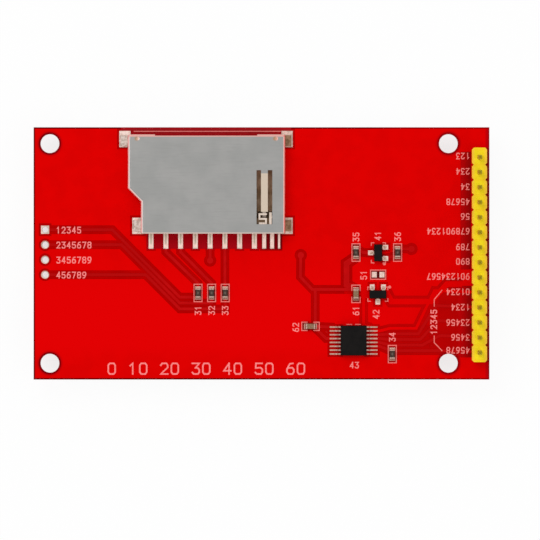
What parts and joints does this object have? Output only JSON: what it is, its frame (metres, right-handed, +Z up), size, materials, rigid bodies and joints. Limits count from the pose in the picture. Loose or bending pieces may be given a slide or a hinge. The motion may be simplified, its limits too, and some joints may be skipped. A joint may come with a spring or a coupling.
{
  "type": "tft display module",
  "caption": "Small touch display module: red circuit board with a card socket and a yellow pin header, resting face down on its display.",
  "frame": {"origin": "middle of the board's outline, on the plane of the display face that the module rests on", "axes": "+X along the board to the pin header, +Y to the long edge where the memory card goes in, +Z up out of the component side"},
  "size_m": [0.0772, 0.0428, 0.0144],
  "materials": {
    "red_board": "glossy solder mask over glass laminate",
    "solder": "tinned copper",
    "legend_ink": "printed ink",
    "yellow_plastic": "moulded, satin",
    "shell_steel": "stamped stainless sheet",
    "brown_plastic": "moulded",
    "spring_metal": "plated spring bronze",
    "tinned_ends": "tinned",
    "black_plastic": "moulded epoxy",
    "touch_film": "clear film over a dark display",
    "black_tape": "adhesive",
    "clear_glass": "clear",
    "polarizer": "dark film",
    "silicon": "bare silicon",
    "light_film": "frosted film",
    "clear_acrylic": "clear acrylic",
    "lamp_plastic": "white lamp bodies",
    "flex_amber": "polyimide film",
    "white_plastic": "moulded",
    "gold_pin": "flash plated",
    "resistor_black": "glazed film on ceramic",
    "capacitor_tan": "fired ceramic"
  },
  "bodies": {
    "root": {"circuit_board": "red_board", "hole_pads": "solder", "solder_lands": "solder", "header_solder": "solder", "legend": "legend_ink", "header_strip": "yellow_plastic", "card_shell": "shell_steel", "card_body": "brown_plastic", "card_contacts": "spring_metal", "switch_contacts": "spring_metal", "lock_spring": "spring_metal", "chip_ends": "tinned_ends", "transistor": "black_plastic", "transistor_leads": "tinned_ends", "regulator": "black_plastic", "touch_chip": "black_plastic", "touch_chip_leads": "tinned_ends", "touch_film": "touch_film", "touch_spacer": "black_tape", "touch_glass": "clear_glass", "picture_ring": "black_tape", "front_polarizer": "polarizer", "color_glass": "clear_glass", "tft_glass": "clear_glass", "driver_chip": "silicon", "rear_polarizer": "polarizer", "rim_tape": "black_tape", "prism_sheet": "light_film", "diffuser_sheet": "light_film", "light_guide": "clear_acrylic", "reflector": "light_film", "lamps": "lamp_plastic", "lamp_strip": "flex_amber", "light_frame": "white_plastic", "main_flex": "flex_amber", "touch_flex": "flex_amber", "foam_tape": "black_tape", "header_pin_1": "gold_pin", "header_pin_2": "gold_pin", "header_pin_3": "gold_pin", "header_pin_4": "gold_pin", "header_pin_5": "gold_pin", "header_pin_6": "gold_pin", "header_pin_7": "gold_pin", "header_pin_8": "gold_pin", "header_pin_9": "gold_pin", "header_pin_10": "gold_pin", "header_pin_11": "gold_pin", "header_pin_12": "gold_pin", "header_pin_13": "gold_pin", "header_pin_14": "gold_pin", "resistor_1": "resistor_black", "resistor_2": "resistor_black", "resistor_3": "resistor_black", "resistor_4": "resistor_black", "resistor_5": "resistor_black", "resistor_6": "resistor_black", "capacitor_1": "capacitor_tan", "capacitor_2": "capacitor_tan"}
  },
  "joints": []
}
